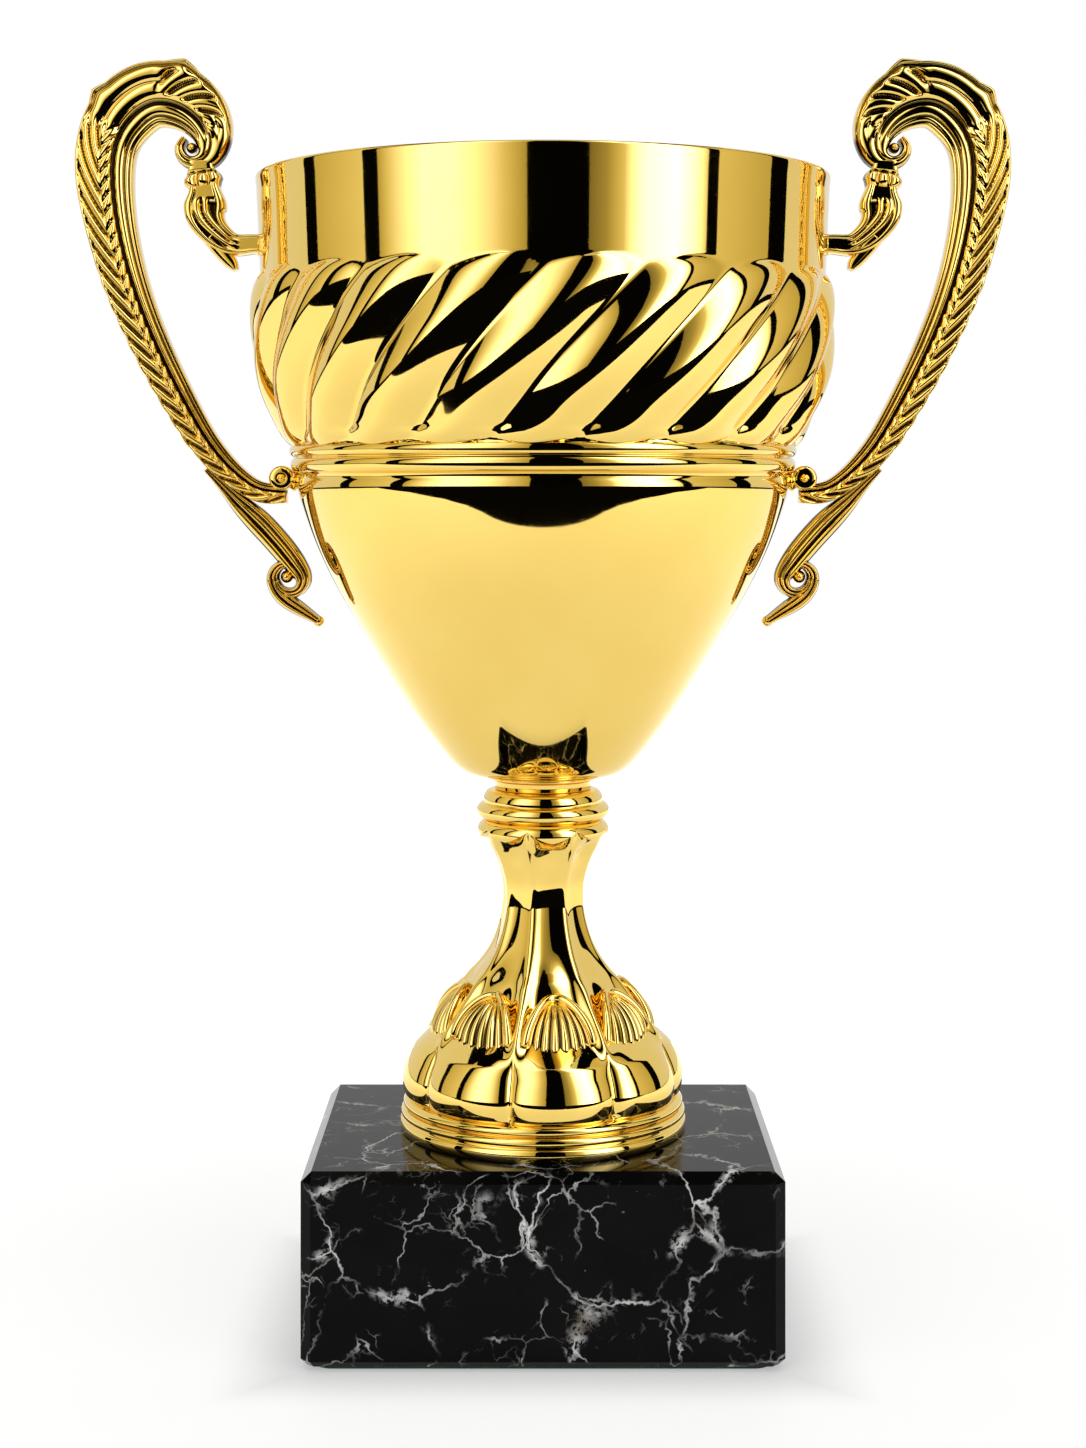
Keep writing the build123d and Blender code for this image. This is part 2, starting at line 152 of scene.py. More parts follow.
class Wire:
    # A socket that takes part in sums; each operator adds one Math node.
    def __init__(self, tree, socket):
        self.tree = tree
        self.socket = socket

    def math(self, operation, *others):
        inputs = {0: self.socket}
        for place, other in enumerate(others, start=1):
            inputs[place] = other
        return self.tree.node("ShaderNodeMath", {"operation": operation}, inputs)

    def __add__(self, other):
        return self.math("ADD", other)

    def __radd__(self, other):
        return self.math("ADD", other)

    def __sub__(self, other):
        return self.math("SUBTRACT", other)

    def __rsub__(self, other):
        return self.tree.node("ShaderNodeMath", {"operation": "SUBTRACT"}, {0: other, 1: self.socket})

    def __mul__(self, other):
        return self.math("MULTIPLY", other)

    def __rmul__(self, other):
        return self.math("MULTIPLY", other)

    def __truediv__(self, other):
        return self.math("DIVIDE", other)

    def atLeast(self, other):
        return self.math("MAXIMUM", other)

    def rise(self, low, high):
        # 0 to 1 as the value goes from low to high, smoothly.
        inputs = {"Value": self.socket, "From Min": low, "From Max": high}
        return self.tree.node("ShaderNodeMapRange", {"interpolation_type": "SMOOTHSTEP"}, inputs)


class Tree:
    # One material's nodes, with a Principled shader to finish them in unless it is a bare one.
    def __init__(self, name, bare=False):
        self.material = bpy.data.materials.new(name)
        self.material.use_nodes = True
        self.tree = self.material.node_tree
        if bare:
            self.tree.nodes.clear()
        else:
            self.shader = self.tree.nodes["Principled BSDF"]
        self.place = self.node("ShaderNodeTexCoord", {}, {}, "Object")

    def node(self, kind, settings, inputs, output=0):
        # Any node: its settings and a ramp's stops first, then its sockets' values or links.
        made = self.tree.nodes.new(kind)
        for key, value in settings.items():
            if key == "stops":
                ramp = made.color_ramp
                while len(ramp.elements) < len(value):
                    ramp.elements.new(0.5)
                for element, (position, colour) in zip(ramp.elements, value):
                    element.position = position
                    element.color = (*colour, 1)
            else:
                setattr(made, key, value)
        for key, value in inputs.items():
            self.feed(made.inputs[key], value)
        return Wire(self, made.outputs[output]) if made.outputs else None

    def feed(self, socket, value):
        if isinstance(value, Wire):
            value = value.socket
        if isinstance(value, bpy.types.NodeSocket):
            self.tree.links.new(value, socket)
        else:
            socket.default_value = value

    def mix(self, factor, first, second):
        return self.node(
            "ShaderNodeMix", {"data_type": "RGBA"}, {"Factor": factor, 6: first, 7: second}, 2
        )

    def axis(self, name):
        # One coordinate of the place on the piece.
        split = self.node("ShaderNodeSeparateXYZ", {}, {"Vector": self.place}).socket.node
        return Wire(self, split.outputs[name])

    def vectors(self, operation, first, second):
        return self.node("ShaderNodeVectorMath", {"operation": operation}, {0: first, 1: second})

    def wander(self, scale, detail, roughness, size):
        # A noise vector about zero, to shake the place on the piece by.
        inputs = {"Vector": self.place, "Scale": scale, "Detail": detail, "Roughness": roughness}
        noise = self.node("ShaderNodeTexNoise", {}, inputs, "Color")
        centred = self.vectors("SUBTRACT", noise, (0.5, 0.5, 0.5))
        return self.node("ShaderNodeVectorMath", {"operation": "SCALE"}, {0: centred, "Scale": size})

    def stretched(self, scale, offset=(0, 0, 0)):
        return self.node(
            "ShaderNodeMapping", {}, {"Vector": self.place, "Scale": scale, "Location": offset}
        )

    def noise(self, scale, detail=2.0, roughness=0.5, where=None):
        return self.node(
            "ShaderNodeTexNoise",
            {},
            {"Vector": where or self.place, "Scale": scale, "Detail": detail, "Roughness": roughness},
        )

    def bump(self, height, distance, strength=1.0, below=None):
        inputs = {"Height": height, "Distance": distance, "Strength": strength}
        if below is not None:
            inputs["Normal"] = below
        return self.node("ShaderNodeBump", {}, inputs)

    def surface(self, **values):
        for key, value in values.items():
            self.feed(self.shader.inputs[key.replace("_", " ")], value)
        return self.material


gold = dict(
    face=(0.90, 0.650, 0.175, 1),  # colour on polished metal
    deep=(0.88, 0.620, 0.155, 1),  # colour where the plate is a little redder
    recess=(0.020, 0.011, 0.003, 1),  # painted shade in the deep places of the castings
    roughness=0.03,
    haze=0.04,  # extra roughness in faint wiping marks
    wave=0.012,  # how far the spun sheet is from true, as bump distance in mm
)


def goldMaterial(name, cast):
    # Mirror-polished plate: a slow drift of tone, faint wiping marks, and the slight waviness of
    # spun sheet. cast pieces get a finer, lumpier surface, with painted shade darkening their recesses.
    tree = Tree(name)
    drift = tree.noise(35.0, 3.0).rise(0.35, 0.7)
    marks = tree.noise(90.0, 6.0, 0.6, tree.stretched((1, 1, 0.25))).rise(0.45, 0.8)
    pits = tree.noise(1400.0, 2.0).rise(0.62, 0.8)
    rough = marks * gold["haze"] + gold["roughness"]
    sheetWave = tree.bump(tree.noise(55.0 if cast else 24.0, 1.0), gold["wave"] * mm, 1.0)
    grain = tree.bump(pits, 0.004 * mm if cast else 0.0015 * mm, 0.5, sheetWave)
    tree.shader.inputs["Metallic"].default_value = 1.0
    colour = tree.mix(drift, gold["face"], gold["deep"])
    if cast:
        # painted shade: the mask kept on the points darkens the deep places towards the painted-shade
        # colour and makes them a little rougher
        recess = tree.node("ShaderNodeAttribute", {"attribute_name": "recess"}, {}, "Fac")
        colour = tree.mix(recess, colour, gold["recess"])
        rough = rough + recess * 0.2
    return tree.surface(Base_Color=colour, Roughness=rough + pits * 0.04, Normal=grain)


spunGold = goldMaterial("spunGold", False)
castGold = goldMaterial("castGold", True)
print("gold made")

bowlLow, bowlHigh = boxOf("bowl")
bowl = dict(
    foot=bowlLow[2],
    rim=bowlHigh[2],
    wall=1.3,
    holeRadius=3.3,  # for the rod
    # (radius, rise) of the belly from its flat foot over the rounded shoulder
    belly=[
        (12.8, 0.0), (18.6, 0.9), (24.4, 6.2), (30.0, 13.5), (36.4, 23.3), (43.8, 35.5), (50.8, 47.6),
        (56.2, 59.6), (58.1, 65.0), (59.2, 68.6), (59.5, 70.4), (59.3, 71.9), (58.6, 73.1),
    ],
    # (radius, rise) of the two beads over it and the groove between them
    lowerBead=[(58.6, 73.1), (59.9, 73.5), (60.8, 74.3), (61.1, 75.4), (60.9, 76.4), (60.2, 77.1)],
    upperBead=[(60.2, 77.1), (61.0, 77.6), (61.4, 78.5), (61.2, 79.5), (60.7, 80.2)],
    # (radius, rise) along the ridges of the bulged band, foot to top
    band=[
        (59.9, 78.4), (62.9, 81.4), (65.6, 86.4), (68.1, 92.1), (70.0, 99.0), (70.9, 107.0),
        (70.9, 112.0), (70.5, 116.0), (69.7, 118.9), (68.4, 121.0), (67.0, 122.2),
    ],
    bandTop=122.4,  # rise at which the wall is plain all round
    corner=0.3,  # rounding where the band meets the rim's wall
    tuckFrom=116.5,  # rise below which the rim's wall curves in behind the band
    tuck=0.02,  # how fast it does
    rimFoot=(68.35, 121.4),  # (radius, rise) of the foot of the rim's wall
    rimTop=69.4,  # radius under the lip
    lip=0.65,  # radius of the rolled lip
    flare=0.1,  # how far the last of the rim turns out
    gadroons=20,
    columnsEach=16,
    turn=5.4,  # where the first valley starts at the bottom, degrees
    twist=34.0,  # how far a valley leans round by the top, degrees
    crest=0.42,  # how broadly a gadroon is rounded along its ridge
    # (share of the way up, depth of the valleys) from the foot of the band to its top
    valleys=[
        (0.0, 1.3), (0.1, 2.1), (0.3, 2.9), (0.55, 3.0), (0.7, 2.65), (0.8, 2.25), (0.9, 1.9), (1.0, 1.6),
    ],
)


def bowlPiece():
    # Outline rows turned about the axis. In the band the radius is the ridge line less the valley
    # depth times a hyperbola across each gadroon, (c^2 + crest^2)^0.5 with c 0 on its ridge and 1
    # in the valleys, and the columns lean with the gadroons.
    b = bowl
    columns = b["gadroons"] * b["columnsEach"]
    across = np.arange(columns) / b["columnsEach"]
    aside = np.abs((across % 1) * 2 - 1)
    valley = (np.hypot(aside, b["crest"]) - b["crest"]) / (np.hypot(1, b["crest"]) - b["crest"])
    base = np.radians(b["turn"]) + across * 2 * np.pi / b["gadroons"]

    belly = splineThrough(b["belly"], 62)
    bead = np.concatenate([splineThrough(b["lowerBead"], 15)[1:], splineThrough(b["upperBead"], 14)[1:]])
    band = splineThrough(b["band"], 90)
    share = (band[:, 1] - band[0, 1]) / (band[-1, 1] - band[0, 1])
    valleys = splineThrough(b["valleys"], 60)
    depth = np.interp(share, valleys[:, 0], valleys[:, 1])
    bandRadius = band[:, :1] - depth[:, None] * valley[None, :]
    lean = np.radians(b["twist"]) * share

    # Where the band leaves the groove at its foot, for each column
    plainFoot = bead[-1, 0]
    plainTop = b["rimFoot"][0]
    middle = len(band) // 2
    around = range(columns)
    low = [np.interp(plainFoot, bandRadius[:middle, k], band[:middle, 1]) for k in around]
    low = np.array(low)
    steps = np.concatenate([np.linspace(0, 0.78, 46)[:-1], np.linspace(0.78, 1, 38)])[:, None]
    rise = low[None, :] + steps * (b["bandTop"] - low)[None, :]
    radius = [np.interp(rise[:, k], band[:, 1], bandRadius[:, k]) for k in around]
    radius = np.stack(radius, axis=1)
    leaning = np.interp(rise, band[:, 1], lean)
    # The rim's wall runs on down, curving in, and the larger of the two radii is the surface, with
    # the corner between them rounded: max + clip(k - |difference|)^2 / 4k
    rimRise = b["rim"] - b["foot"] - b["lip"]
    wallSlope = (b["rimTop"] - plainTop) / (rimRise - b["rimFoot"][1])
    tucked = b["tuck"] * np.clip(b["tuckFrom"] - rise, 0, None) ** 2
    behind = plainTop + (rise - b["rimFoot"][1]) * wallSlope - tucked
    corner = np.clip(b["corner"] - np.abs(radius - behind), 0, None) ** 2 / (4 * b["corner"])
    radius = np.maximum(radius, behind) + corner

    wallSteps = np.concatenate([np.linspace(0, 0.88, 14)[1:], np.linspace(0.88, 1, 9)[1:]])[:, None]
    rimLevels = b["bandTop"] + wallSteps * (rimRise - b["bandTop"]) + 0 * across[None, :]
    rimRadius = plainTop + (rimLevels - b["rimFoot"][1]) * wallSlope
    rimRadius = rimRadius + b["flare"] * smoothStep(rimLevels, rimRise - 2.6, rimRise - 0.2)

    def allRound(rows):
        # The same outline in every column: its radii and its rises.
        return np.repeat(rows[:, :1], columns, 1), np.repeat(rows[:, 1:2], columns, 1)

    lip = arc((b["rimTop"] + b["flare"] - b["lip"], rimRise), b["lip"], 8, 172, 11)
    underR, underZ = allRound(np.concatenate([belly, bead[:-1]]))
    outerR = np.concatenate([underR, radius, rimRadius])
    outerZ = np.concatenate([underZ, rise, rimLevels])
    outerLean = np.concatenate(
        [np.zeros(underR.shape), leaning, np.full(rimLevels.shape, lean[-1])]
    )
    # Inside wall: the outside moved in along its normal in the (radius, rise) plane, on fewer rows
    tangentR = np.gradient(outerR, axis=0)
    tangentZ = np.gradient(outerZ, axis=0)
    length = np.hypot(tangentR, tangentZ)
    keep = np.arange(len(outerR) - 1, 0, -3)
    insideR = (outerR - b["wall"] * tangentZ / length)[keep]
    insideZ = (outerZ + b["wall"] * tangentR / length)[keep]
    lipR, lipZ = allRound(lip)
    floorR = np.full((1, columns), b["holeRadius"])
    radiusRows = np.concatenate([floorR, outerR, lipR, insideR, floorR])
    riseRows = np.concatenate([floorR * 0, outerZ, lipZ, insideZ, floorR * 0 + b["wall"]])
    leanRows = np.concatenate(
        [floorR * 0, outerLean, np.full(lipR.shape, lean[-1]), outerLean[keep], floorR * 0]
    )
    angle = base[None, :] + leanRows
    x = radiusRows * np.sin(angle)
    y = -radiusRows * np.cos(angle)
    mesh = gridMesh("bowl", x, y, riseRows + b["foot"], wrapRows=True)
    piece("cupBowl", [mesh], spunGold, "gold", "bowl")


bowlPiece()
print("bowl made")

rings = dict(
    bore=3.3,  # radius of the hole for the rod
    inside=27.0,  # radius inside the foot ring
    footBeads=(1.15, 1.0),  # radius of the lower and the upper bead of the foot ring
    roll=2.0,  # radius of the collar's round roll
    shoulder=(1.75, 2.5),  # width and height of the quarter round over it
    flange=0.45,  # radius of the thin flange under the bowl
)


def footRingPiece():
    # A flat band with two half-round beads over it, the upper one a little smaller.
    low, high = boxOf("foot_ring")
    r = high[0]
    bottom, top = low[2], high[2]
    lower, upper = rings["footBeads"]
    band = [(rings["inside"], bottom), (r - 0.25, bottom), (r, bottom + 0.25), (r, bottom + 2.6)]
    band = band + [(r - 0.3, bottom + 2.95), (r - 1.3, bottom + 3.1)]
    lowerBead = arc((r - 1.3, bottom + 4.4), lower, -78, 78, 14)
    waist = [(r - 1.45, bottom + 5.55), (r - 1.7, bottom + 5.7)]
    upperBead = arc((r - 1.75, bottom + 6.7), upper, -75, 60, 12)
    close = [(r - 1.6, top), (rings["inside"], top)]
    profile = np.concatenate([band, lowerBead, waist, upperBead, close])
    piece("footRing", [turned("footRing", profile, 256)], castGold, "gold", "foot_ring")


def collarPiece():
    # A full round roll with a quarter-round shoulder over it.
    low, high = boxOf("collar")
    width, height = rings["shoulder"]
    roll = arc((high[0] - rings["roll"], low[2] + 2.3), rings["roll"], -72, 70, 18)
    turn = np.linspace(-0.25, 1.45, 18)
    shoulder = np.stack([12.7 + width * np.cos(turn), low[2] + 4.8 + height * np.sin(turn)], axis=1)
    foot = [(rings["bore"], low[2]), (14.2, low[2])]
    profile = np.concatenate([foot, roll, shoulder, [(rings["bore"], high[2])]])
    piece("collarRoll", [turned("collar", profile, 256)], castGold, "gold", "collar")


def neckPiece():
    # A short drum with a thin rounded flange under the bowl.
    low, high = boxOf("neck_ring")
    bottom, top = low[2], high[2]
    drum = [(rings["bore"], bottom), (11.55, bottom), (11.75, bottom + 0.3), (11.7, top - 1.3)]
    drum = drum + [(11.9, top - 1.0)]
    flange = arc((12.35, top - 0.48), rings["flange"], -90, 90, 10)
    profile = np.concatenate([drum, flange, [(rings["bore"], top)]])
    piece("neckDrum", [turned("neck", profile, 256)], castGold, "gold", "neck_ring")


footRingPiece()
collarPiece()
neckPiece()
print("turned rings made")

pedestal = dict(
    lobes=8,
    turn=8.75,  # where the middle of the front lobe stands, degrees to the right
    columnsEach=34,
    # (level, radius) of the outline on a lobe, then up the ribs of the stem
    outline=[
        (53.0, 32.6), (53.6, 33.3), (55.5, 34.0), (57.7, 34.15), (60.1, 33.7), (62.5, 32.8),
        (64.9, 31.5), (67.3, 29.8), (69.7, 27.9), (72.1, 26.2), (74.5, 24.3), (76.9, 22.3),
        (79.3, 20.5), (81.7, 18.7), (84.1, 16.4), (86.5, 14.5), (88.9, 13.0), (91.4, 11.9),
        (93.8, 11.1), (96.2, 10.5), (98.6, 10.1), (102.3, 10.0), (104.7, 10.2), (107.2, 10.8),
        (109.6, 11.6), (112.0, 12.7), (114.5, 14.1), (116.5, 14.9), (118.6, 15.3),
    ],
    lobeDepth=2.8,
    # (level, height) of the narrow rib that rises from each crease
    rib=[
        (53.0, 0.0), (65.5, 0.0), (68.0, 0.9), (71.0, 2.2), (76.0, 2.3), (80.0, 1.7), (84.0, 1.1),
        (90.0, 0.7), (97.0, 0.5), (119.0, 0.5),
    ],
    shellSpan=17.8,  # half the width of a shell, degrees
    shellFoot=68.3,
    shellRise=10.6,
    shellRibs=10,
    shellBorder=1.0,  # radius of the round border along its arch
    shellReach=(18.5, 9.0, 2.2),  # radius at its pole, more at its foot, less at its sides
    shellGroove=1.0,  # depth between its ribs
    shellSag=1.5,  # how far its foot hangs in the middle
    shellDepth=3.0,  # from its face to its hidden back
    # (level, radius) of the lip at the top of the stem
    lip=[
        (115.0, 15.1), (116.0, 15.6), (116.9, 15.9), (117.7, 15.85), (118.5, 15.5), (119.1, 14.95),
        (119.6, 14.3),
    ],
    lipEdge=115.5,  # level of the lip's lower edge over a lobe
    lipWave=2.9,  # how much higher it is over a rib
    # (radius, level) of the hollow inside, from the top down
    inside=[
        (3.3, 119.6), (3.3, 114.0), (7.6, 113.6), (7.4, 100.0), (9.5, 90.0), (17.0, 78.0), (24.0, 70.0),
        (28.6, 60.0), (29.2, 53.0),
    ],
)


def pedestalBody():
    # Radius at a level and a place across a lobe (u from -1 crease to 1 crease):
    # outline less lobeDepth * (1 - sqrt(1 - u^2)) low down, and above it less the rib height
    # except in a narrow round rib over each crease, exp(-(distance / width)^2).
    p = pedestal
    columns = p["lobes"] * p["columnsEach"]
    place = np.arange(columns) / p["columnsEach"]
    u = (place % 1) * 2 - 1
    u = np.sign(u) * (1 - (1 - np.abs(u)) ** 1.25)  # columns drawn closer to the creases
    angle = np.radians(p["turn"]) + (np.floor(place) + u / 2) * 2 * np.pi / p["lobes"]
    levels = [np.linspace(53, 69, 52), np.linspace(69.3, 84, 40), np.linspace(84.6, 113.4, 44)]
    levels = np.concatenate(levels)  # lobes, belt of shells, stem
    curve = splineThrough(p["outline"], 600)
    radius = np.interp(levels, curve[:, 0], curve[:, 1])[:, None]
    rib = np.array(p["rib"])
    ribHeight = np.interp(levels, rib[:, 0], rib[:, 1])[:, None]
    away = 1 - np.abs(u)[None, :]
    lobeShare = 1 - smoothStep(levels, 63.0, 70.0)[:, None]
    foot = smoothStep(levels, 52.6, 54.5)[:, None]
    bulge = (1 - np.sqrt(1 - 0.985 * u**2))[None, :]
    lobe = p["lobeDepth"] * lobeShare * bulge * (0.5 + 0.5 * foot)
    width = 0.16 + 0.16 * smoothStep(levels, 68, 90)[:, None]
    hollow = ribHeight * (1 - np.exp(-((away / width) ** 2)))
    flute = (0.5 * smoothStep(levels, 82, 90) + 0.7 * smoothStep(levels, 108, 113))[:, None]
    flute = flute * np.cos(u * np.pi / 2)[None, :] ** 2
    body = radius - lobe - hollow - flute
    x = body * np.sin(angle)[None, :]
    y = -body * np.cos(angle)[None, :]
    z = np.repeat(levels[:, None], columns, axis=1)

    # The lip: its lower edge runs in a wave that peaks over each rib, and it stands proud there
    edge = p["lipEdge"] + p["lipWave"] * np.abs(u) ** 1.6
    steps = np.linspace(0, 1, 24)[:, None] ** 1.3
    lipOutline = splineThrough(p["lip"], 80)
    lipLevels = edge[None, :] + steps * (p["lip"][-1][0] - edge)[None, :]
    lip = np.interp(lipLevels, lipOutline[:, 0], lipOutline[:, 1])
    under = np.interp(edge - 1.0, curve[:, 0], curve[:, 1]) - 1.8 * np.cos(u * np.pi / 2) ** 2
    step = np.stack([under, lip[0] - 0.75])
    high = np.concatenate([step, lip])
    highLevels = np.concatenate([[edge - 1.0, edge - 0.1], lipLevels])
    x = np.concatenate([x, high * np.sin(angle)])
    y = np.concatenate([y, -high * np.cos(angle)])
    z = np.concatenate([z, highLevels])

    inside = np.array(p["inside"])
    x = np.concatenate([x, inside[:, :1] * np.sin(angle)])
    y = np.concatenate([y, -inside[:, :1] * np.cos(angle)])
    z = np.concatenate([z, np.repeat(inside[:, 1:], columns, axis=1)])
    return gridMesh("pedestalBody", x, y, z, wrapRows=True)


def tube(name, points, radius, sides=14):
    # A round bar along a line of points, its rings square to the line.
    points = np.array(points)
    along = np.gradient(points, axis=0)
    along /= np.linalg.norm(along, axis=1, keepdims=True)
    across = np.cross(along, points * (1, 1, 0))
    across /= np.linalg.norm(across, axis=1, keepdims=True)
    out = np.cross(across, along)
    turn = np.arange(sides) / sides * 2 * np.pi
    ring = across[:, None] * np.cos(turn)[None, :, None] + out[:, None] * np.sin(turn)[None, :, None]
    shape = points[:, None] + radius * ring
    return gridMesh(name, shape[..., 0], shape[..., 1], shape[..., 2], capEnds=True)


def shell(number):
    # A half dome laid against the pedestal: longitudes from the pole at its top run down as ribs.
    # Radius = pole + foot cos(lat)^1.5 - sides (1 - cos(psi)) cos(lat) less the grooves between ribs;
    # under its foot, which sags in the middle, it turns in on a quarter round. A round border
    # follows the arch.
    p = pedestal
    lat = np.radians(np.concatenate([np.linspace(-85, 0, 6)[:-1], np.linspace(0, 84, 23)]))[:, None]
    psi = np.radians(np.linspace(-86, 86, 81))[None, :]
    low = np.minimum(lat, 0)
    up = np.maximum(lat, 0)
    middle = p["turn"] + 360 / p["lobes"] * number
    rib = np.abs(np.sin((psi / np.pi + 0.5) * np.pi * p["shellRibs"])) ** 0.8
    field = smoothStep(np.cos(psi), 0.05, 0.2) * (1 - smoothStep(up, 0.8, 1.3))
    field = field * (0.4 + 0.6 * np.cos(low))
    pole, foot, sides = p["shellReach"]
    radius = pole + foot * np.cos(up) ** 1.5 - sides * (1 - np.cos(psi)) * np.cos(up)
    radius = radius - p["shellGroove"] * field * (1 - rib) - 1.7 * (1 - np.cos(low))
    azimuth = np.radians(middle + p["shellSpan"] * np.sin(psi) * np.cos(up) ** 0.92)
    sag = p["shellSag"] * np.cos(psi) ** 0.7 * (1 - np.sin(up)) ** 2
    level = p["shellFoot"] + 1.1 + p["shellRise"] * 0.93 * np.sin(up) + 1.3 * np.sin(low) - sag
    # painted shade: the grooves between the shell's ribs are darkened, kept on the points for the gold to
    # darken by
    paintedGrooveShade = np.clip(3.2 * field * (1 - rib) - 0.9, 0, 1)
    x = radius * np.sin(azimuth)
    y = -radius * np.cos(azimuth)
    back = 1 - p["shellDepth"] / np.hypot(x, y)
    x = np.concatenate([x, (x * back)[:, ::-1]], axis=1)
    y = np.concatenate([y, (y * back)[:, ::-1]], axis=1)
    level = np.concatenate([level, level[:, ::-1]], axis=1)
    paintedGrooveShade = np.concatenate([paintedGrooveShade, 0 * paintedGrooveShade], axis=1)
    dome = gridMesh("shell", x, y, level, capEnds=True, recess=paintedGrooveShade)
    sweep = np.radians(np.linspace(-176, -4, 61))
    span = np.cos(sweep)
    rim = pole + 0.5 + foot * np.abs(span) ** 1.5 - 2.0 * np.abs(span)
    turn = np.radians(middle + 1.02 * p["shellSpan"] * np.sign(span) * np.abs(span) ** 0.85)
    lift = p["shellFoot"] + 0.9 + p["shellRise"] * np.sin(-sweep)
    arch = np.stack([rim * np.sin(turn), -rim * np.cos(turn), lift], axis=1)
    return [dome, tube("shellBorder", arch, p["shellBorder"])]


shells = [mesh for number in range(pedestal["lobes"]) for mesh in shell(number)]
piece("lobedPedestal", [pedestalBody(), *shells], castGold, "gold", "pedestal")
print("pedestal made")

handle = dict(
    half=3.45,  # half the thickness of the casting
    side=2.3,  # half the height of its side walls
    # (out, level, width) along the middle of each strip of the right handle
    arm=[
        (62.3, 198.4, 4.2), (65.6, 198.5, 4.9), (69.2, 199.2, 5.1), (73.2, 201.6, 5.3),
        (77.6, 205.4, 6.2), (82.4, 211.3, 6.9), (86.2, 217.5, 7.5), (92.5, 229.2, 8.6),
        (99.0, 243.8, 9.8), (102.9, 255.5, 11.2), (105.5, 267.2, 12.7), (106.4, 275.9, 13.9),
        (105.4, 284.6, 14.9), (101.5, 291.4, 16.2), (95.2, 295.4, 15.9), (87.4, 294.4, 15.0),
        (82.0, 289.7, 12.4), (80.2, 284.0, 8.8), (81.6, 280.0, 5.6), (84.4, 278.8, 3.6),
        (87.2, 279.9, 2.8), (88.2, 282.6, 2.2), (86.9, 284.9, 1.5),
    ],
    strut=[
        (81.8, 204.4, 1.2), (77.8, 200.4, 2.6), (73.6, 196.0, 4.6), (69.6, 192.2, 6.0),
        (65.6, 188.0, 6.2), (62.2, 184.0, 6.0), (59.6, 180.6, 5.2), (58.2, 177.6, 3.9),
        (59.0, 175.5, 3.0), (61.2, 174.5, 2.5), (63.5, 175.4, 2.0), (64.6, 177.4, 1.3),
    ],
    tail=[
        (61.6, 181.5, 1.2), (63.9, 181.0, 2.4), (65.5, 178.8, 3.0), (64.9, 175.7, 3.6),
        (62.5, 172.9, 3.9), (59.3, 170.7, 3.5), (56.6, 169.0, 2.7), (54.6, 167.7, 2.1),
    ],
    leaf=[
        (82.3, 274.0, 7.0), (82.1, 272.0, 7.8), (82.0, 269.2, 10.0), (82.0, 266.6, 9.8),
        (80.7, 263.4, 7.9), (77.6, 260.3, 6.4), (74.6, 259.0, 5.3), (71.4, 259.1, 4.8),
        (68.9, 259.2, 4.5),
    ],
    leafTip=[
        (81.0, 260.6, 3.4), (78.4, 257.9, 4.0), (76.4, 255.4, 3.4), (75.2, 253.9, 2.6),
        (74.7, 253.0, 1.5),
    ],
    knuckle=[
        (83.0, 279.2, 6.0), (82.9, 277.4, 6.3), (82.8, 276.5, 7.2), (82.6, 275.3, 9.0),
        (82.5, 274.4, 9.1), (82.3, 273.3, 8.0), (82.2, 272.2, 7.0),
    ],
    leafPitch=5.2,
    ropePitch=3.4,
)


def reed(t, middle, halfWidth, height):
    # A half-round rib across a strip, height * sqrt(1 - ((t - middle) / halfWidth)^2).
    return height * np.sqrt(np.clip(1 - ((t - middle) / halfWidth) ** 2, 0, 1))


def strip(name, stations, relief, rows, across=48, half=None, side=None, teeth=None):
    # A flat strip along a middle line, t = -1 on its outer edge and 1 on its inner edge. Front and
    # back stand side + (half - side) * (1 - t^6)^0.5 from the middle plane, plus the relief.
    # teeth push the outer edge out along the line.
    half = half or handle["half"]
    side = side or handle["side"]
    line = splineThrough(stations, rows)
    step = np.gradient(line[:, :2], axis=0)
    length = np.linalg.norm(step, axis=1)
    along = np.concatenate([[0], np.cumsum(length[1:])])[:, None]
    outward = np.stack([step[:, 1], -step[:, 0]], axis=1) / length[:, None]
    t = np.linspace(-1, 1, across)[None, :]
    height = relief(along, t, line[:, 2:3])
    lift = side + (half - side) * np.sqrt(1 - t**6) + height
    lift = np.maximum(lift, 0.4) + 0 * along
    # painted shade: the deepest parts of the relief are darkened, kept on the points for the gold to
    # darken by
    paintedGrooveShade = np.clip((-height - 0.62) / 0.2, 0, 1) + 0 * along
    reach = -t * line[:, 2:3] / 2
    if teeth:
        reach = reach + teeth(along) * np.clip(-t, 0, 1) ** 3
    x = line[:, :1] + outward[:, :1] * reach
    z = line[:, 1:2] + outward[:, 1:] * reach
    x = np.concatenate([x, x[:, ::-1]], axis=1)
    z = np.concatenate([z, z[:, ::-1]], axis=1)
    y = np.concatenate([-lift, lift[:, ::-1]], axis=1)
    paintedGrooveShade = np.concatenate([paintedGrooveShade, paintedGrooveShade[:, ::-1]], axis=1)
    return gridMesh(name, x, y, z, capEnds=True, recess=paintedGrooveShade)


def armTeeth(along):
    # Leaf tips along the lower arm, a corner where the flutes begin, and the peak over the top.
    tips = 0.35 * np.abs(np.sin(np.pi * (along + 1.5) / handle["leafPitch"]))
    tips = tips * (1 - smoothStep(along, 66, 80))
    corner = 1.3 * np.clip(1 - np.abs(along - 110.5) / 2.2, 0, 1)
    peak = 1.6 * np.clip(1 - np.abs(along - 125.0) / 3.0, 0, 1)
    return tips * smoothStep(along, 22, 27) + corner + peak


